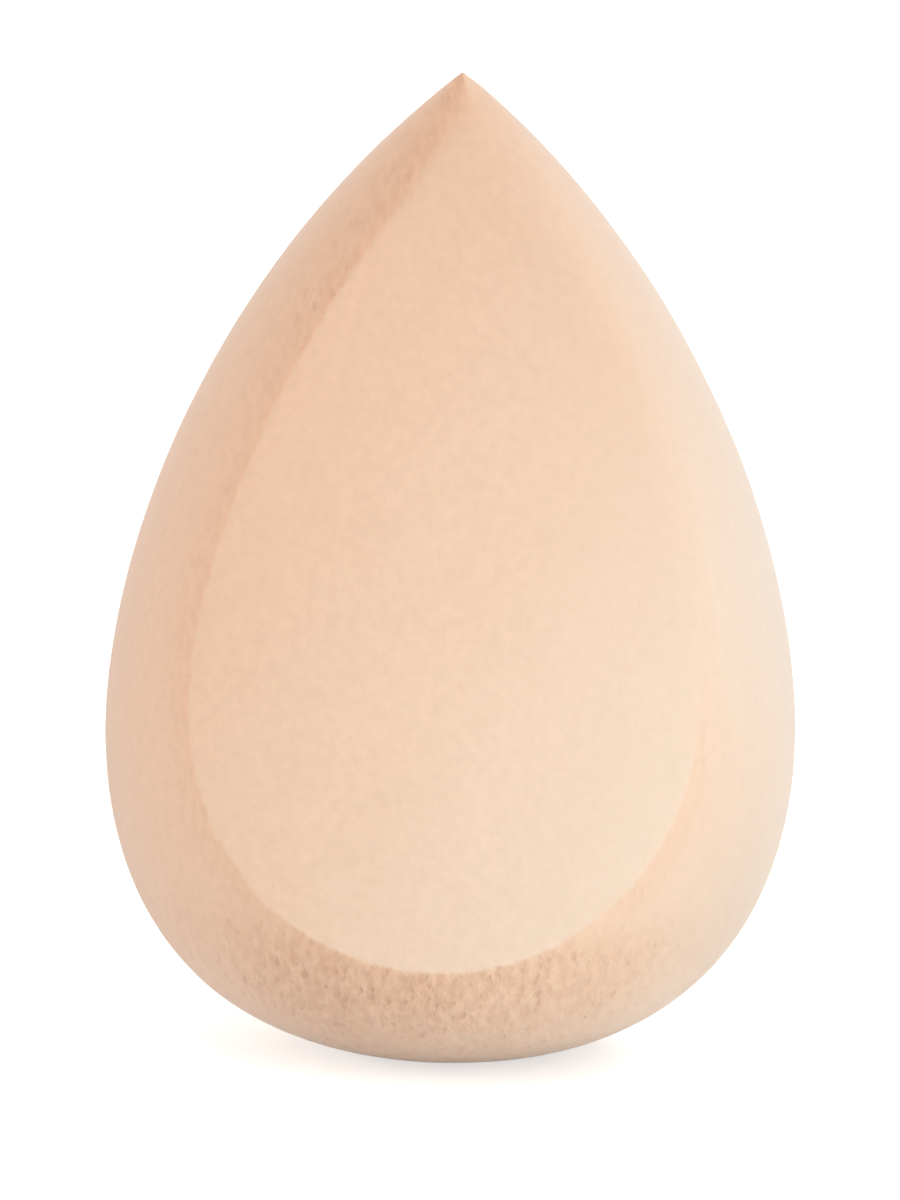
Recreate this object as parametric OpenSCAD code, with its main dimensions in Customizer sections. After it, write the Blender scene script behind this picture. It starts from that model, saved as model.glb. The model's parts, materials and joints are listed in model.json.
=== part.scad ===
// Drop-shaped blending sponge with one slanted flat side.
// The whole sponge is a single piece of soft open-cell foam.
// It stands on the z = 0 plane, point up, and its cut side looks towards -Y.

/* [Drop] */
// Height from the base to the point
body_h = 60; // [45:0.5:80]
// Diameter of the widest ring
body_d = 42; // [32:0.5:56]
// Height of the widest ring above the base
belly_z = 19.6; // [14:0.2:28]
// Diameter of the small flat that the sponge stands on
base_flat_d = 8; // [4:0.5:12]
// Slope of the underside where it leaves the flat, in degrees
base_rise = 6; // [4:0.5:16]
// Half of the angle that the flanks make at the point, in degrees
point_half_angle = 50.5; // [40:0.5:60]
// Radius of the rounded point
point_r = 0.5; // [0.3:0.1:3]

/* [Cut side] */
// Height at which the distance of the cut side is measured
cut_z = 30; // [20:0.5:40]
// Distance from the upright axis to the cut side at that height
cut_reach = 13.1; // [9:0.1:16]
// How far the cut side leans back from upright, in degrees
cut_lean = 13.2; // [4:0.2:18]

/* [Hidden] */

$fn = 96;

body_r = body_d / 2;
base_flat_r = base_flat_d / 2;
foam_colour = [0.93, 0.80, 0.68];

// Straight bands that stand for one curve of the side profile
curve_steps = 24;
// Straight bands round the point
point_steps = 5;

// Pull of each curve's handles, as shares of the height or width that the curve spans
flank_top_pull_share = 0.53;
flank_belly_pull_share = 0.215;
under_belly_pull_share = 0.26;
under_flat_pull_share = 0.92;

// The flank starts where it leaves the rounded point
point_centre_z = body_h - point_r;
flank_start = [point_r * cos(point_half_angle), point_centre_z + point_r * sin(point_half_angle)];
flank_pull = flank_top_pull_share * (body_h - belly_z);
belly_point = [body_r, belly_z];
flat_edge = [base_flat_r, 0];
under_pull = under_flat_pull_share * (body_r - base_flat_r);

// The cutter is larger than the drop in every direction
cutter = 2 * (body_h + body_d);

// A point on a curve from a to d that b and c pull, for t from 0 to 1
function curve_point(a, b, c, d, t) =
    pow(1 - t, 3) * a
    + 3 * pow(1 - t, 2) * t * b
    + 3 * (1 - t) * pow(t, 2) * c
    + pow(t, 3) * d;

// Points along that curve, without its first one
function curve_points(a, b, c, d) =
    [for (i = [1 : curve_steps]) curve_point(a, b, c, d, i / curve_steps)];

// Underside, from the edge of the flat out and up to the widest ring
function underside() = curve_points(
    flat_edge,
    flat_edge + under_pull * [cos(base_rise), sin(base_rise)],
    belly_point - [0, under_belly_pull_share * belly_z],
    belly_point
);

// Flank, from the widest ring in and up to the rounded point
function flank() = curve_points(
    belly_point,
    belly_point + [0, flank_belly_pull_share * (body_h - belly_z)],
    flank_start + flank_pull * [sin(point_half_angle), -cos(point_half_angle)],
    flank_start
);

// Rounded point, from the flank up to the axis
function rounded_point() = [
    for (i = [1 : point_steps])
        let (angle = point_half_angle + i / point_steps * (90 - point_half_angle))
        [point_r * cos(angle), point_centre_z + point_r * sin(angle)]
];

// Half of the upright section of the drop
module drop_section() {
    polygon(concat([[0, 0], flat_edge], underside(), flank(), rounded_point()));
}

// Everything in front of the cut side
module cut_away() {
    translate([0, -cut_reach, cut_z])
        rotate([-cut_lean, 0, 0])
            translate([-cutter / 2, -cutter, -cutter / 2])
                cube(cutter);
}

// The one piece of foam
module foam_body() {
    color(foam_colour)
        difference() {
            rotate_extrude()
                drop_section();
            cut_away();
        }
}

foam_body();
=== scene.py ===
import itertools
import json
import math

import bmesh
import bpy
import numpy as np
from mathutils import Matrix, Vector


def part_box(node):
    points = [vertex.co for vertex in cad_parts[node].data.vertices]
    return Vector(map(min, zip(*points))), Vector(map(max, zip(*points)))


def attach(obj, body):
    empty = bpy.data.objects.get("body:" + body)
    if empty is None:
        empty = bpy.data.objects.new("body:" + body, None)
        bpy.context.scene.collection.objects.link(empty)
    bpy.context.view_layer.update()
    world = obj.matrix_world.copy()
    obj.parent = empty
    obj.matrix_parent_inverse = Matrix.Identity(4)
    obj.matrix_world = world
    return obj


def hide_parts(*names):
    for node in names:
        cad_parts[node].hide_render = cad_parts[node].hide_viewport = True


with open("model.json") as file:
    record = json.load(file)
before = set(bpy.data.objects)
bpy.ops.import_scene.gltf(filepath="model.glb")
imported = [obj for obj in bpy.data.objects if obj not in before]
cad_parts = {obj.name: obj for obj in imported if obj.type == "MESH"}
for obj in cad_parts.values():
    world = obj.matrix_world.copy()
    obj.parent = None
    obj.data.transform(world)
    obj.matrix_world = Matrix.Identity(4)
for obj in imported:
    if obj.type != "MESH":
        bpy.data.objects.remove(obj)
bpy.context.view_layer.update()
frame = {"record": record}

# A drop-shaped blending sponge of soft foam with one slanted cut side, standing point up.
# Sizes of the sponge are in millimetres here, and MM turns them into the scene's metres.
MM = 0.001
NODE = "foam_body"

# Driving sizes of the drop. Those that the frame doesn't give are the CAD model's own.
low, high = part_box(NODE)
BODY_H = (high.z - low.z) / MM
BODY_R = (high.x - low.x) / 2 / MM
BELLY_Z = 19.6
FLAT_R = 4.0
BASE_RISE = math.radians(6)
POINT_HALF_ANGLE = math.radians(50.5)
POINT = np.array([0.0, 0.0, BODY_H])
BODY_MIDDLE = Vector((0, 0, BODY_H / 2))
# The point is a little sharper than the CAD model's
POINT_R = 0.3

# Pull of the side profile's handles, as shares of what each curve spans
FLANK_TOP_PULL_SHARE = 0.53
FLANK_BELLY_PULL_SHARE = 0.215
UNDER_BELLY_PULL_SHARE = 0.26
UNDER_FLAT_PULL_SHARE = 0.92

# The cut side's plane, as the record gives it
cut_mount = next(m for m in frame["record"]["mounts"] if m["name"] == "cut_side")
CUT_POINT = np.array(cut_mount["pos_m"]) / MM
CUT_NORMAL = np.array(cut_mount["axis"]) / np.linalg.norm(cut_mount["axis"])
CUT_UP = np.array([0.0, CUT_NORMAL[2], -CUT_NORMAL[1]])

# The cut isn't quite flat: it is a little domed and twisted. Each value is how far the foam stands
# proud of the plane by that form, at WARP_REACH to the right and WARP_RISE up the cut from
# WARP_MIDDLE, which is a height along the cut from CUT_POINT.
WARP_REACH = 15.0
WARP_RISE = 25.0
WARP_MIDDLE = -2.0
DOME_PROUD = 0.28
DOME_SIDES = -0.72
DOME_ENDS = -0.88
WARP_TILT = -0.13
WARP_TWIST = -1.02
WARP_LEFT_TO_RIGHT = 0.39
WARP_UPPER_CORNERS = 0.39
WARP_ALL_CORNERS = 1.17
WARP_DOWN_TO_UP = -0.86
# Near the point the cut bends back, from BEND_START up, so that it runs out just below the point
BEND_START = 22.0
BEND_BACK = -1.91
BEND_TWIST = -1.78

# The cut's edge is crisp, but soft where it is both far round to the right and high up, and partly
# soft at the point. EDGE_CRISP and EDGE_SOFT are the widths that it is rounded over. Each pair is
# where the softening starts and where it is complete: the first is how far round to the right the
# edge is, as a share of its distance from the upright axis, and the others are heights.
EDGE_CRISP = 0.24
EDGE_SOFT = 1.2
SOFT_FROM_LEFT_TO_RIGHT = (-0.1, 0.6)
SOFT_FROM_LOW_TO_HIGH = (17.0, 32.0)
SOFT_AT_POINT = (BODY_H - 14, BODY_H - 4)
SOFT_AT_POINT_SHARE = 0.4
# Small teeth where the cut leaves the skin: how far they stand out, how long each one is, and how
# near to the edge they lie
TOOTH_HEIGHT = 0.08
TOOTH_LENGTH = 0.6
TEETH_REACH = 0.5

# The foam's own unevenness, as heights and lengths of its waves. It starts at the floor and is
# whole at UNEVEN_ABOVE, so that the sponge still stands on its flat.
GRAIN_LENGTHS = (0.8, 1.5)
GRAIN_HEIGHT = 0.004
COARSE_GRAIN_HEIGHT = 0.022
SWELL_LENGTH = 9.0
SWELL_HEIGHT = 0.035
UNEVEN_ABOVE = 1.5

# Coarse foam: the skin at the base, less so at the very bottom and away from the front. Its darker, rosier
# tone there is partly the coarse foam's own and partly painted shade on the base under the cut, which
# turns down away from the light, and it fades at the very bottom, where the floor's shadow darkens the
# base. Each pair is where a change starts and where it is complete: two are heights, and COARSE_AT_FRONT
# is how far round to the front, at -Y, the skin is, as a share of its distance from the upright axis.
COARSE_BELOW = (13.0, 8.5)
COARSE_FADE = (7.0, 1.0)
COARSE_FADE_SHARE = 0.7
COARSE_AT_FRONT = (-0.6, -0.88)
COARSE_ELSEWHERE_SHARE = 0.3
# The skin beside the cut is a little coarse too, where the knife opened its pores, and more so and farther
# from the cut near the point. The darker coarse tone there is also painted shade on the skin that turns
# away beside the cut.
COARSE_EDGE_REACH = 2.6
COARSE_EDGE_SHARE = 0.35
COARSE_EDGE_TO_POINT = (BODY_H - 22, BODY_H - 12)
COARSE_POINT_REACH = 4.5
COARSE_POINT_SHARE = 0.5

# Mesh: quads along each side of the cube that it starts from, and steps of the side profile
GRID = 124
PROFILE_STEPS = 160
POINT_STEPS = 12
# The grid of distances from the skin, which is worked out in blocks to save memory
FIELD_CELL = 0.1
FIELD_MARGIN = 3.0
FIELD_BLOCKS = 9
# How often points are moved onto the surface, and towards the middle of their neighbours, and the
# share of the way there that they go each time
SETTLE_ROUNDS = 3
EVEN_OUT_ROUNDS = 12
EVEN_OUT_SHARE = 0.5
# Points within GATHER_REACH of the cut's edge are drawn towards it, and those next to it come to
# GATHER_SHARE of their distance. Points near the sponge's point are drawn to it in the same way.
GATHER_REACH = 1.5
GATHER_SHARE = 0.35
POINT_GATHER_REACH = 3.0
POINT_GATHER_SHARE = 0.4
# Half the width over which slopes are measured, the least slope squared that is divided by, and
# what keeps other divisions from zero
SLOPE_STEP = 0.04
LEAST_SLOPE_SQUARED = 0.05
TINY = 1e-9
# Size of the noise's table, and the seeds of the teeth, the grain and the swells
NOISE_CELLS = 256
SEEDS = (11, 12, 13)

# Colours of the moulded skin and of the cut side
SKIN_COLOUR = (0.868, 0.581, 0.401)
CUT_COLOUR = (0.855, 0.614, 0.448)
# The tones that they take along TOWARD_PAINTED_LIGHT, from rosy PAINTED_LIGHT_REACH before
# PAINTED_LIGHT_MIDDLE to pale as far beyond it: painted shade at the upper left and painted light at the
# lower right, where the light from the right falls
TOWARD_PAINTED_LIGHT = (0.85, 0.0, -0.52)
PAINTED_LIGHT_MIDDLE = -15.6
PAINTED_LIGHT_REACH = 26.0
PAINTED_SHADE_TONE = (1.005, 0.868, 0.777)
PAINTED_LIGHT_TONE = (0.992, 1.15, 1.26)
# What coarse foam and pores multiply their colour by. The coarse foam's darker, rosier tone is partly its
# own and partly painted shade, and the pores' darker tone is painted shade in their hollows.
COARSE_TONE_AND_PAINTED_SHADE = (0.97, 0.89, 0.835)
PORE_PAINTED_SHADE = (0.91, 0.84, 0.79)
# Cloudy tones, fine speckles, and the blotches that take the speckles' place in coarse foam
CLOUDS = dict(length=6.0, detail=5, rough=0.6, dark=(0.991, 0.985, 0.979), light=(1.008, 1.012, 1.016))
SPECKLES = dict(length=0.7, detail=2, rough=0.6, dark=(0.975, 0.969, 0.964), light=(1.024, 1.029, 1.034))
BLOTCHES = dict(length=0.5, detail=1, rough=0.5, dark=(0.91, 0.865, 0.83), light=(1.07, 1.1, 1.12))
# How far to the right they start to weaken and are weakest, and what is left of them there. The weakening
# is painted light: it stands in for the light from the right washing them out.
TO_RIGHT = (1.0, 0.0, 0.0)
WEAKER_TO_RIGHT = (2.0, 10.0)
WEAKEST_SHARE = 0.5
# What most of a noise texture's values lie between
NOISE_SPAN = (0.3, 0.7)

# The foam's cells are drawn out from front to back and upwards, so coarse grain and pores are
# longer that way
FOAM_STRETCH = (1.0, 0.4, 0.5)
# Pores: the length of the cells that they lie in, their largest radius as a share of it, their depth, and
# how much of PORE_PAINTED_SHADE, the painted shade in their hollows, the small ones take
LARGE_PORES = dict(length=0.5, largest=0.5)
LARGE_PORE_DEPTH = 0.08
SMALL_PORES = dict(length=0.4, largest=0.45)
SMALL_PORE_DEPTH = 0.02
SMALL_PORE_SHADE_SHARE = 0.6
# The share of the largest radius that a pore's side slopes over, and how far pores show on fine foam
PORE_SLOPE = 0.6
PORES_ON_FINE = 0.1
# Waves that bend the pores' rims
RIM_WAVES = dict(length=0.5, detail=1)
RIM_WAVE_HEIGHT = 0.2
# Grain in the surface's bump, as the waves' length, detail and roughness, and their heights
GRAIN_BUMP = dict(length=0.6, detail=3, rough=0.6)
GRAIN_BUMP_HEIGHT = 0.035
COARSE_GRAIN_BUMP_HEIGHT = 0.38
# How the foam scatters light just under its surface
SCATTER_SHARE = 0.15
SCATTER_DEPTH = 0.8
SCATTER_COLOUR = (1.0, 0.55, 0.35)
# Its velvety sheen, its gloss, and its roughness where the clouds are dark and light
VELVET_SHARE = 0.5
VELVET_COLOUR = (1.0, 0.965, 0.92)
VELVET_ROUGHNESS = 0.6
GLOSS = 0.3
ROUGHNESS = (0.8, 0.92)

# Floor, in metres
FLOOR_SIZE = 4.0
FLOOR_TONE = 0.9
# The glow that turns the floor white where it is seen, at its middle and at GLOW_REACH from there
FLOOR_GLOW = 0.6
FAR_GLOW = 1.0
GLOW_REACH = 0.5

# Light. A lamp of strength 1 has one watt at STRENGTH_DISTANCE and lights the sponge as much from
# any other distance.
ROOM_LIGHT = 0.3
STRENGTH_DISTANCE = 400.0
LAMP_DISTANCE = 450.0
LAMP_SIZE = 250.0

# Camera
CAMERA_DISTANCE = 600.0
CAMERA_ELEVATION = math.radians(10.2)
CAMERA_AZIMUTH = math.radians(-0.7)
CAMERA_ROLL = math.radians(1.15)
PIXELS_HIGH = 1200
PIXELS_WIDE = 900
# The photograph's scale at the body's middle, and the pixel where the middle lies in it
PIXELS_PER_MM = 16.474
MIDDLE_PIXEL = (453.6, 562.7)
# Width of the camera's sensor
SENSOR = 36.0
# What the camera sees lies between these, in metres
CLIP_NEAR = 0.01
CLIP_FAR = 20


def ease(value, start, end):
    """Share from 0 to 1 that rises smoothly while value goes from start to end."""
    share = np.clip((value - start) / (end - start), 0, 1)
    return share ** 2 * (3 - 2 * share)


def between(start, end, share):
    """The value at that share of the way from start to end."""
    return start + (end - start) * share


def add_object(name, data):
    """A new object in the scene."""
    made = bpy.data.objects.new(name, data)
    bpy.context.scene.collection.objects.link(made)
    return made


def direction(azimuth, elevation):
    """The way from the sponge to a place round it. Azimuth 0 is in front, and 90 degrees at its right."""
    level = math.cos(elevation)
    return Vector((math.sin(azimuth) * level, -math.cos(azimuth) * level, math.sin(elevation)))


def facing(back):
    """The turn of a camera or lamp whose back is towards that direction."""
    return back.to_track_quat("Z", "Y").to_matrix()


def camera():
    """The camera at the photograph's viewing angle, with the body's middle on MIDDLE_PIXEL."""
    back = direction(CAMERA_AZIMUTH, CAMERA_ELEVATION)
    turn = facing(back) @ Matrix.Rotation(CAMERA_ROLL, 3, "Z")
    aside = (PIXELS_WIDE / 2 - MIDDLE_PIXEL[0]) / PIXELS_PER_MM
    down = (MIDDLE_PIXEL[1] - PIXELS_HIGH / 2) / PIXELS_PER_MM
    place = BODY_MIDDLE + back * CAMERA_DISTANCE + turn @ Vector((aside, down, 0))
    data = bpy.data.cameras.new("camera")
    data.sensor_width = SENSOR
    data.lens = SENSOR * CAMERA_DISTANCE * PIXELS_PER_MM / PIXELS_HIGH
    data.clip_start = CLIP_NEAR
    data.clip_end = CLIP_FAR
    made = add_object("camera", data)
    made.matrix_world = Matrix.Translation(place * MM) @ turn.to_4x4()
    bpy.context.scene.camera = made


def curve_points(a, b, c, d, steps):
    """Points along a curve from a to d that b and c pull."""
    t = np.linspace(0, 1, steps)[:, None]
    a, b, c, d = (np.array(p, float) for p in (a, b, c, d))
    return (1 - t) ** 3 * a + 3 * (1 - t) ** 2 * t * b + 3 * (1 - t) * t ** 2 * c + t ** 3 * d


def side_profile():
    """Half of the drop's upright section, as (radius, height) from the middle of the base to the point."""
    rise = np.array([math.cos(BASE_RISE), math.sin(BASE_RISE)])
    fall = np.array([math.sin(POINT_HALF_ANGLE), -math.cos(POINT_HALF_ANGLE)])
    centre = np.array([0, BODY_H - POINT_R])
    flat_edge = np.array([FLAT_R, 0])
    belly = np.array([BODY_R, BELLY_Z])
    flank_end = centre + POINT_R * np.array([math.cos(POINT_HALF_ANGLE), math.sin(POINT_HALF_ANGLE)])
    above = BODY_H - BELLY_Z
    under = curve_points(
        flat_edge,
        flat_edge + UNDER_FLAT_PULL_SHARE * (BODY_R - FLAT_R) * rise,
        belly - [0, UNDER_BELLY_PULL_SHARE * BELLY_Z],
        belly,
        PROFILE_STEPS,
    )
    flank = curve_points(
        belly,
        belly + [0, FLANK_BELLY_PULL_SHARE * above],
        flank_end + FLANK_TOP_PULL_SHARE * above * fall,
        flank_end,
        PROFILE_STEPS,
    )
    angles = np.linspace(POINT_HALF_ANGLE, math.pi / 2, POINT_STEPS)[1:]
    point = centre + POINT_R * np.column_stack([np.cos(angles), np.sin(angles)])
    return np.vstack([[[0, 0]], under, flank[1:], point])


def profile_distance(spots, profile):
    """Signed distance of spots from the side profile, below zero inside the drop."""
    starts = profile[:-1]
    along = np.diff(profile, axis=0)
    length = (along ** 2).sum(1)
    share = np.clip(((spots[:, None] - starts) * along).sum(2) / length, 0, 1)
    offset = spots[:, None] - starts - along * share[..., None]
    distance = (offset ** 2).sum(2)
    nearest = distance.argmin(1)
    rows = np.arange(len(spots))
    step, gap = along[nearest], offset[rows, nearest]
    outside = step[:, 1] * gap[:, 0] - step[:, 0] * gap[:, 1]
    return np.sqrt(distance[rows, nearest]) * np.sign(outside)


class Field:
    """Signed distance from the drop's skin, kept on a fine grid of radius and height."""

    def __init__(self, profile):
        radii = np.arange(-FIELD_MARGIN, BODY_R + FIELD_MARGIN, FIELD_CELL)
        heights = np.arange(-FIELD_MARGIN, BODY_H + FIELD_MARGIN, FIELD_CELL)
        self.shape = (len(radii), len(heights))
        # Beyond the axis the section is mirrored
        spots = np.array(np.meshgrid(np.abs(radii), heights, indexing="ij")).reshape(2, -1).T
        blocks = np.array_split(spots, FIELD_BLOCKS)
        self.values = np.concatenate([profile_distance(block, profile) for block in blocks])
        self.values = self.values.reshape(self.shape)

    def __call__(self, points):
        """The distance at each point, blended from the four nearest values of the grid."""
        u = (np.hypot(points[:, 0], points[:, 1]) + FIELD_MARGIN) / FIELD_CELL
        v = (points[:, 2] + FIELD_MARGIN) / FIELD_CELL
        i = np.clip(u.astype(int), 0, self.shape[0] - 2)
        j = np.clip(v.astype(int), 0, self.shape[1] - 2)
        s, t = u - i, v - j
        w = self.values
        return (
            w[i, j] * (1 - s) * (1 - t) + w[i + 1, j] * s * (1 - t)
            + w[i, j + 1] * (1 - s) * t + w[i + 1, j + 1] * s * t
        )


def cut_distance(points):
    """Distance in front of the cut side, below zero inside the foam."""
    away = points - CUT_POINT
    side = away[:, 0] / WARP_REACH
    rise = (away @ CUT_UP - WARP_MIDDLE) / WARP_RISE
    dome = DOME_PROUD + DOME_SIDES * side ** 2 + DOME_ENDS * rise ** 2
    warp = (
        WARP_TILT * side + WARP_TWIST * side * rise + WARP_LEFT_TO_RIGHT * side ** 3
        + WARP_UPPER_CORNERS * side ** 2 * rise + WARP_ALL_CORNERS * side ** 2 * rise ** 2
        + WARP_DOWN_TO_UP * rise ** 3
    )
    top = (POINT - CUT_POINT) @ CUT_UP
    share = np.maximum(away @ CUT_UP - BEND_START, 0) / (top - BEND_START)
    bend = (BEND_BACK + BEND_TWIST * side) * share ** 2
    return away @ CUT_NORMAL - dome - warp - bend


def way_round(points, axis):
    """How far round towards an axis the points lie, as a share of their distance from the upright axis."""
    return points[:, axis] / np.maximum(np.hypot(points[:, 0], points[:, 1]), POINT_R)


def upper_right(points):
    """Share of the way to the upper right, where the cut's edge fades away."""
    to_right = ease(way_round(points, 0), *SOFT_FROM_LEFT_TO_RIGHT)
    return to_right * ease(points[:, 2], *SOFT_FROM_LOW_TO_HIGH)


def edge_softness(points):
    """Width over which the cut's edge is rounded: crisp all round but at the upper right and the point."""
    at_point = SOFT_AT_POINT_SHARE * ease(points[:, 2], *SOFT_AT_POINT)
    return between(EDGE_CRISP, EDGE_SOFT, np.maximum(upper_right(points), at_point))


class Noise:
    """Smooth noise in space, about -1 to 1, which is the same on every run."""

    def __init__(self, seed):
        chance = np.random.default_rng(seed)
        self.order = chance.permutation(NOISE_CELLS)
        slopes = chance.normal(size=(NOISE_CELLS, 3))
        self.slopes = slopes / np.linalg.norm(slopes, axis=1)[:, None]
        self.turn = np.linalg.qr(chance.normal(size=(3, 3)))[0]

    def __call__(self, points, length):
        """The noise at each point, in waves about as long as length."""
        here = points @ self.turn / length
        cell = np.floor(here).astype(int)
        share = here - cell
        # Rises from 0 to 1 across the cell, with no slope or bend at either end
        blend = share ** 3 * (share * (share * 6 - 15) + 10)
        total = np.zeros(len(points))
        for corner in itertools.product((0, 1), repeat=3):
            spot = (cell + corner) % NOISE_CELLS
            pick = self.order[spot[:, 0]]
            pick = self.order[(pick + spot[:, 1]) % NOISE_CELLS]
            pick = self.order[(pick + spot[:, 2]) % NOISE_CELLS]
            slope = (self.slopes[pick] * (share - corner)).sum(1)
            total += slope * np.where(corner, blend, 1 - blend).prod(1)
        return 2 * total


teeth, grain, swell = (Noise(seed) for seed in SEEDS)


def two_sides(points, drop):
    """Signed distances from the drop's skin and from the cut, which has small teeth where the two meet."""
    skin, cut = drop(points), cut_distance(points)
    near = 1 - ease(np.abs(skin - cut), 0, TEETH_REACH)
    touched = near > 0
    crisp = EDGE_CRISP / edge_softness(points[touched])
    cut[touched] += TOOTH_HEIGHT * near[touched] * crisp * teeth(points[touched], TOOTH_LENGTH)
    return skin, cut


def skin_distance(points, drop):
    """Signed distance from the sponge's surface: the drop and the cut side with a rounded edge between."""
    skin, cut = two_sides(points, drop)
    width = edge_softness(points)
    near = np.maximum(width - np.abs(skin - cut), 0) / width
    return np.maximum(skin, cut) + near ** 2 * width / 4


def gradient(distance, points):
    """How fast a distance grows along each axis."""
    slope = np.empty_like(points)
    for axis in range(3):
        offset = np.zeros(3)
        offset[axis] = SLOPE_STEP
        slope[:, axis] = (distance(points + offset) - distance(points - offset)) / (2 * SLOPE_STEP)
    return slope


def outward(points, drop):
    """Unit directions in which the distance from the surface grows fastest."""
    slope = gradient(lambda where: skin_distance(where, drop), points)
    return slope / (np.linalg.norm(slope, axis=1)[:, None] + TINY)


def settle(points, drop, rounds):
    """Moves points onto the surface."""
    for _ in range(rounds):
        points = points - skin_distance(points, drop)[:, None] * outward(points, drop)
    return points


def even_out(points, ends, drop, rounds):
    """Slides points along the surface towards the middle of their neighbours."""
    count = np.bincount(ends.ravel(), minlength=len(points))[:, None]
    for _ in range(rounds):
        total = np.zeros_like(points)
        for axis in range(3):
            total[:, axis] = np.bincount(ends[:, 0], points[ends[:, 1], axis], len(points))
            total[:, axis] += np.bincount(ends[:, 1], points[ends[:, 0], axis], len(points))
        points = settle(points + EVEN_OUT_SHARE * (total / count - points), drop, 1)
    return points


def gather_at_edge(points, drop):
    """Draws points near the cut's edge along the surface towards it, but not at the sponge's point."""
    def gap(where):
        return drop(where) - cut_distance(where)

    normal = outward(points, drop)
    slope = gradient(gap, points)
    slope -= (slope * normal).sum(1)[:, None] * normal
    here = gap(points)
    kept = between(GATHER_SHARE, 1, ease(np.abs(here), 0, GATHER_REACH))
    steep = np.maximum((slope ** 2).sum(1), LEAST_SLOPE_SQUARED)
    below_point = 1 - ease(points[:, 2], *SOFT_AT_POINT)
    return points + (below_point * (kept - 1) * here / steep)[:, None] * slope


def gather_at_point(points):
    """Draws the points near the sponge's point towards it, in the same way."""
    away = points - POINT
    share = ease(np.linalg.norm(away, axis=1), 0, POINT_GATHER_REACH)
    return POINT + away * between(POINT_GATHER_SHARE, 1, share)[:, None]


def ball_mesh():
    """A cube cut into a fine grid of quads, as a bmesh, which becomes a ball of evenly sized faces."""
    made = bmesh.new()
    bmesh.ops.create_cube(made, size=2)
    bmesh.ops.subdivide_edges(made, edges=made.edges[:], cuts=GRID - 1, use_grid_fill=True)
    made.verts.ensure_lookup_table()
    return made


def spread_over_drop(cube, profile):
    """Takes points of the cube to the drop, so that equal areas of the ball get equal areas of it."""
    ball = np.tan(cube * math.pi / 4)
    ball /= np.linalg.norm(ball, axis=1)[:, None]
    piece = np.linalg.norm(np.diff(profile, axis=0), axis=1)
    area = np.concatenate([[0], np.cumsum(piece * (profile[1:, 0] + profile[:-1, 0]))])
    share = (1 + ball[:, 2]) / 2
    radius = np.interp(share, area / area[-1], profile[:, 0])
    height = np.interp(share, area / area[-1], profile[:, 1])
    level = np.hypot(ball[:, 0], ball[:, 1]) + TINY
    points = np.column_stack([ball[:, 0] / level * radius, ball[:, 1] / level * radius, height])
    ahead = np.maximum(cut_distance(points), 0)
    return points - ahead[:, None] * CUT_NORMAL


def even_points(grid, profile, drop):
    """The grid's points on the sponge's plain form, evenly spread and closer at the edge and the point."""
    cube = np.array([v.co for v in grid.verts])
    ends = np.array([[v.index for v in e.verts] for e in grid.edges])
    points = settle(spread_over_drop(cube, profile), drop, SETTLE_ROUNDS)
    points = even_out(points, ends, drop, EVEN_OUT_ROUNDS)
    points = settle(gather_at_edge(points, drop), drop, SETTLE_ROUNDS)
    return settle(gather_at_point(points), drop, SETTLE_ROUNDS)


def coarseness(points, on_cut, gap):
    """Share of coarse foam, whose darker tone is partly painted shade: at the base, and beside the cut,
    which the skin lies a gap away from.
    """
    front = between(COARSE_ELSEWHERE_SHARE, 1, ease(way_round(points, 1), *COARSE_AT_FRONT))
    faded = 1 - COARSE_FADE_SHARE * ease(points[:, 2], *COARSE_FADE)
    at_base = ease(points[:, 2], *COARSE_BELOW) * faded * front
    to_point = ease(points[:, 2], *COARSE_EDGE_TO_POINT)
    share = between(COARSE_EDGE_SHARE, COARSE_POINT_SHARE, to_point)
    reach = between(COARSE_EDGE_REACH, COARSE_POINT_REACH, to_point)
    # At the upper right there is no edge that a knife left
    beside_cut = share * ease(gap, reach, 0) * (1 - upper_right(points))
    return np.maximum(at_base, beside_cut) * (1 - on_cut)


def unevenness(points, coarse):
    """How far the foam's surface stands above or below its plain form."""
    waves = sum(grain(points, length) for length in GRAIN_LENGTHS)
    height = between(GRAIN_HEIGHT, COARSE_GRAIN_HEIGHT, coarse)
    lift = height * waves + SWELL_HEIGHT * swell(points, SWELL_LENGTH)
    return lift * ease(points[:, 2], 0, UNEVEN_ABOVE)


def sponge():
    """The foam piece as one closed mesh, with the shares of cut and of coarse foam for its material."""
    profile = side_profile()
    drop = Field(profile)
    grid = ball_mesh()
    points = even_points(grid, profile, drop)
    skin, cut = two_sides(points, drop)
    half_edge = edge_softness(points) / 2
    on_cut = ease(cut - skin, -half_edge, half_edge)
    coarse = coarseness(points, on_cut, skin - cut)
    # At the upper right the skin takes the cut side's paler colour: painted light where the light from the
    # right falls on it
    on_cut = np.maximum(on_cut, upper_right(points))
    points = points + unevenness(points, coarse)[:, None] * outward(points, drop)
    for vert, point in zip(grid.verts, points * MM):
        vert.co = point
    data = bpy.data.meshes.new("foam")
    grid.to_mesh(data)
    grid.free()
    data.polygons.foreach_set("use_smooth", np.ones(len(data.polygons), bool))
    # The cut's share also carries the painted light at the upper right
    for name, values in (("cut", on_cut), ("coarse", coarse)):
        mark = data.attributes.new(name, "FLOAT", "POINT")
        mark.data.foreach_set("value", values.astype(np.float32))
    return add_object("foam", data)


def opaque(red, green, blue):
    """A colour with its alpha."""
    return (red, green, blue, 1)


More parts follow.
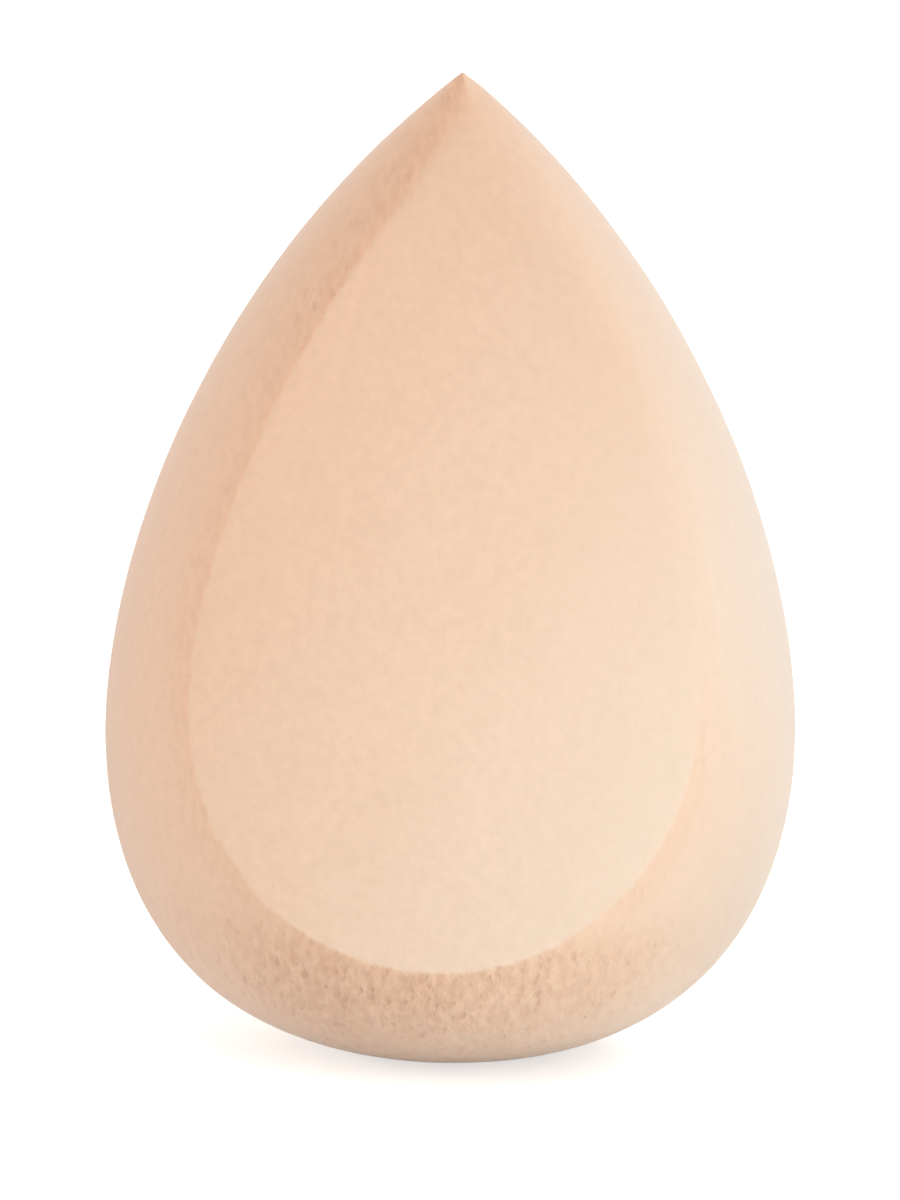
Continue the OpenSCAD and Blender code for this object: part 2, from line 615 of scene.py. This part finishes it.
class Nodes:
    """Makes and joins the nodes of one material or world."""

    def __init__(self, owner):
        owner.use_nodes = True
        self.tree = owner.node_tree
        self.tree.nodes.clear()

    def add(self, kind, *values, out=0, settings=None, **inputs):
        """A node's output. Its inputs are filled by order, or by name with _ for each space."""
        made = self.tree.nodes.new(kind)
        for name, value in (settings or {}).items():
            setattr(made, name, value)
        for value, socket in zip(values, made.inputs):
            self.put(value, socket)
        for name, value in inputs.items():
            self.put(value, made.inputs[name.replace("_", " ")])
        return made.outputs[out] if made.outputs else made

    def put(self, value, socket):
        """Links another node's output to a socket, or sets the socket to a plain value."""
        if isinstance(value, bpy.types.NodeSocket):
            self.tree.links.new(value, socket)
        else:
            socket.default_value = value

    def math(self, operation, *values):
        return self.add("ShaderNodeMath", *values, settings={"operation": operation})

    def vector(self, operation, *values, out=0):
        return self.add("ShaderNodeVectorMath", *values, out=out, settings={"operation": operation})

    def spread(self, value, from_low, from_high, to_low, to_high, kind="LINEAR"):
        """A value taken from one span to another, and held inside it."""
        return self.add(
            "ShaderNodeMapRange", settings={"interpolation_type": kind}, Value=value,
            From_Min=from_low, From_Max=from_high, To_Min=to_low, To_Max=to_high,
        )

    def blend(self, share, a, b, kind="MIX"):
        """One colour blended into another."""
        made = self.tree.nodes.new("ShaderNodeMix")
        made.data_type = "RGBA"
        made.blend_type = kind
        made.clamp_factor = True
        # Sockets of the same name follow one another, so the ones for colours go by their numbers
        for value, socket in ((share, made.inputs[0]), (a, made.inputs[6]), (b, made.inputs[7])):
            self.put(value, socket)
        return made.outputs[2]

    def tint(self, a, b):
        """One colour multiplied by another."""
        return self.blend(1.0, a, b, "MULTIPLY")

    def noise(self, place, length, detail, rough=0.5, out=0):
        """Noise around a half whose waves are about that many millimetres long."""
        return self.add(
            "ShaderNodeTexNoise", out=out, Vector=place, Scale=1 / (length * MM), Detail=detail,
            Roughness=rough,
        )

    def waves(self, place, height, **shape):
        """Grain that rises and falls about zero."""
        return self.math("MULTIPLY_ADD", self.noise(place, **shape), height, -height / 2)

    def tones(self, place, length, detail, rough, dark, light):
        """A tone that wanders between dark and light, and the share of light in it."""
        share = self.spread(self.noise(place, length, detail, rough), *NOISE_SPAN, 0, 1)
        return self.blend(share, opaque(*dark), opaque(*light)), share

    def pores(self, place, length, largest):
        """Pores of many sizes, 1 in their middle, in cells that are length millimetres wide."""
        distance = self.add("ShaderNodeTexVoronoi", out="Distance", Vector=place, Scale=1 / (length * MM))
        chance = self.add("ShaderNodeSeparateColor", Color=distance.node.outputs["Color"])
        size = self.spread(chance, 0, 1, 0, largest)
        depth = self.math("SUBTRACT", size, distance)
        return self.spread(depth, 0, largest * PORE_SLOPE, 0, 1, "SMOOTHSTEP")


def colour_with_painted_light(n, place, cut, coarse):
    """The foam's colour: rosier towards its upper left and paler towards its lower right, which is painted
    shade on the side away from the light and painted light on the side towards it.
    """
    toward_painted_light = n.vector("DOT_PRODUCT", place, TOWARD_PAINTED_LIGHT, out="Value")
    shaded_end, lit_end = (PAINTED_LIGHT_MIDDLE - PAINTED_LIGHT_REACH) * MM, (PAINTED_LIGHT_MIDDLE + PAINTED_LIGHT_REACH) * MM
    painted_light = n.spread(toward_painted_light, shaded_end, lit_end, 0, 1)
    colour = n.blend(cut, opaque(*SKIN_COLOUR), opaque(*CUT_COLOUR))
    colour = n.tint(colour, n.blend(painted_light, opaque(*PAINTED_SHADE_TONE), opaque(*PAINTED_LIGHT_TONE)))
    return n.blend(coarse, colour, n.tint(colour, opaque(*COARSE_TONE_AND_PAINTED_SHADE)))


def mottled_colour(n, colour, place, cells, coarse):
    """The colour with clouds and speckles, which turn into blotches on coarse foam, and the cloudiness."""
    clouds, cloudiness = n.tones(place, **CLOUDS)
    speckles = n.tones(place, **SPECKLES)[0]
    blotches = n.tones(cells, **BLOTCHES)[0]
    tone = n.blend(coarse, n.tint(clouds, speckles), n.tint(clouds, blotches))
    # The mottling weakens to the right as painted light, standing in for the light from the right washing
    # it out
    start, end = (distance * MM for distance in WEAKER_TO_RIGHT)
    to_right = n.vector("DOT_PRODUCT", place, TO_RIGHT, out="Value")
    kept = n.spread(to_right, start, end, 1, WEAKEST_SHARE)
    return n.blend(kept, colour, n.tint(colour, tone)), cloudiness


def pores_with_wavy_rims(n, cells, coarse):
    """How deep the large and the small pores are, as shares."""
    wave = n.noise(cells, **RIM_WAVES, out="Color")
    bent = n.vector("MULTIPLY_ADD", wave, (RIM_WAVE_HEIGHT * MM,) * 3, cells)
    seen = n.spread(coarse, 0, 1, PORES_ON_FINE, 1)
    return [n.math("MULTIPLY", n.pores(bent, **kind), seen) for kind in (LARGE_PORES, SMALL_PORES)]


def grain_and_hollows(n, place, cells, coarse, large, small):
    """The surface's bump: grain, finer or coarser, with the pores' hollows in it."""
    fine = n.waves(place, GRAIN_BUMP_HEIGHT, **GRAIN_BUMP)
    rough = n.waves(cells, COARSE_GRAIN_BUMP_HEIGHT, **GRAIN_BUMP)
    waves = n.add("ShaderNodeMix", Factor=coarse, A=fine, B=rough)
    large_hollows = n.math("MULTIPLY", large, LARGE_PORE_DEPTH)
    hollows = n.math("MULTIPLY_ADD", small, SMALL_PORE_DEPTH, large_hollows)
    return n.add("ShaderNodeBump", Height=n.math("SUBTRACT", waves, hollows), Strength=1, Distance=MM)


def foam_material():
    """Dry peach foam: a rosier moulded skin, a paler cut side, and pores that are coarse at the base, with
    painted light and painted shade in its colour.
    """
    made = bpy.data.materials.new("foam")
    n = Nodes(made)
    place = n.add("ShaderNodeTexCoord", out="Object")
    cells = n.vector("MULTIPLY", place, FOAM_STRETCH)
    # The cut's share, with the painted light at the upper right in it
    cut = n.add("ShaderNodeAttribute", out="Fac", settings={"attribute_name": "cut"})
    coarse = n.add("ShaderNodeAttribute", out="Fac", settings={"attribute_name": "coarse"})

    colour = colour_with_painted_light(n, place, cut, coarse)
    colour, cloudiness = mottled_colour(n, colour, place, cells, coarse)
    large, small = pores_with_wavy_rims(n, cells, coarse)
    # Painted shade in the pores' hollows
    pore_shade = n.math("MAXIMUM", large, n.math("MULTIPLY", small, SMALL_PORE_SHADE_SHARE))
    colour = n.tint(colour, n.blend(pore_shade, opaque(1, 1, 1), opaque(*PORE_PAINTED_SHADE)))
    shader = n.add(
        "ShaderNodeBsdfPrincipled",
        Base_Color=colour,
        Roughness=n.spread(cloudiness, 0, 1, *ROUGHNESS),
        Normal=grain_and_hollows(n, place, cells, coarse, large, small),
        Specular_IOR_Level=GLOSS,
        Subsurface_Weight=SCATTER_SHARE,
        Subsurface_Radius=SCATTER_COLOUR,
        Subsurface_Scale=SCATTER_DEPTH * MM,
        Sheen_Weight=VELVET_SHARE,
        Sheen_Tint=opaque(*VELVET_COLOUR),
        Sheen_Roughness=VELVET_ROUGHNESS,
    )
    n.add("ShaderNodeOutputMaterial", Surface=shader)
    return made


def seen_directly(n):
    """1 for what the camera sees, straight, mirrored or through glass, and 0 for lighting."""
    path = n.add("ShaderNodeLightPath").node.outputs
    mirrored = n.math("MAXIMUM", path["Is Camera Ray"], path["Is Glossy Ray"])
    return n.math("MAXIMUM", mirrored, path["Is Transmission Ray"])


def floor_material():
    """Pale and plain, and brightened by a glow where it is seen."""
    made = bpy.data.materials.new("floor")
    n = Nodes(made)
    plain = n.add("ShaderNodeBsdfDiffuse", Color=opaque(FLOOR_TONE, FLOOR_TONE, FLOOR_TONE))
    away = n.vector("LENGTH", n.add("ShaderNodeTexCoord", out="Object"), out="Value")
    strength = n.spread(away, 0, GLOW_REACH, FLOOR_GLOW, FAR_GLOW)
    glow = n.add("ShaderNodeEmission", Strength=n.math("MULTIPLY", seen_directly(n), strength))
    n.add("ShaderNodeOutputMaterial", Surface=n.add("ShaderNodeAddShader", plain, glow))
    return made


def floor():
    """A large pale floor that reads as white and keeps the sponge's shadow."""
    half = FLOOR_SIZE / 2
    corners = [(-half, -half, 0), (half, -half, 0), (half, half, 0), (-half, half, 0)]
    data = bpy.data.meshes.new("floor")
    data.from_pydata(corners, [], [(0, 1, 2, 3)])
    data.materials.append(floor_material())
    add_object("floor", data)


def surroundings():
    """White where it is seen, and an even soft light on the sponge."""
    world = bpy.data.worlds.new("surroundings")
    bpy.context.scene.world = world
    n = Nodes(world)
    light = n.add("ShaderNodeBackground", Color=opaque(1, 1, 1), Strength=ROOM_LIGHT)
    white = n.add("ShaderNodeBackground", Color=opaque(1, 1, 1), Strength=1)
    n.add("ShaderNodeOutputWorld", Surface=n.add("ShaderNodeMixShader", seen_directly(n), light, white))


def softbox(name, azimuth, elevation, strength, distance=LAMP_DISTANCE, size=LAMP_SIZE):
    """A soft square lamp that points at the sponge's middle."""
    back = direction(math.radians(azimuth), math.radians(elevation))
    data = bpy.data.lights.new(name, "AREA")
    data.size = size * MM
    data.energy = strength * (distance / STRENGTH_DISTANCE) ** 2
    made = add_object(name, data)
    made.matrix_world = Matrix.Translation((BODY_MIDDLE + back * distance) * MM) @ facing(back).to_4x4()
    made.visible_camera = False


def studio_lamps():
    """Plain soft light from all round, stronger from the sides. The floor hides the low lamps' feet."""
    softbox("front", azimuth=0, elevation=0, strength=0.40)
    softbox("high front", azimuth=0, elevation=45, strength=0.31)
    softbox("near right", azimuth=30, elevation=0, strength=0.28, distance=90, size=40)
    softbox("above", azimuth=0, elevation=60, strength=0.19, distance=200, size=120)
    softbox("high right", azimuth=120, elevation=45, strength=0.61)
    softbox("left", azimuth=-100, elevation=0, strength=0.75)
    softbox("back", azimuth=180, elevation=30, strength=0.30)


bpy.context.scene.view_settings.view_transform = "Standard"
camera()
foam = sponge()
foam.data.materials.append(foam_material())
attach(foam, "root")
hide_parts(NODE)
floor()
surroundings()
studio_lamps()
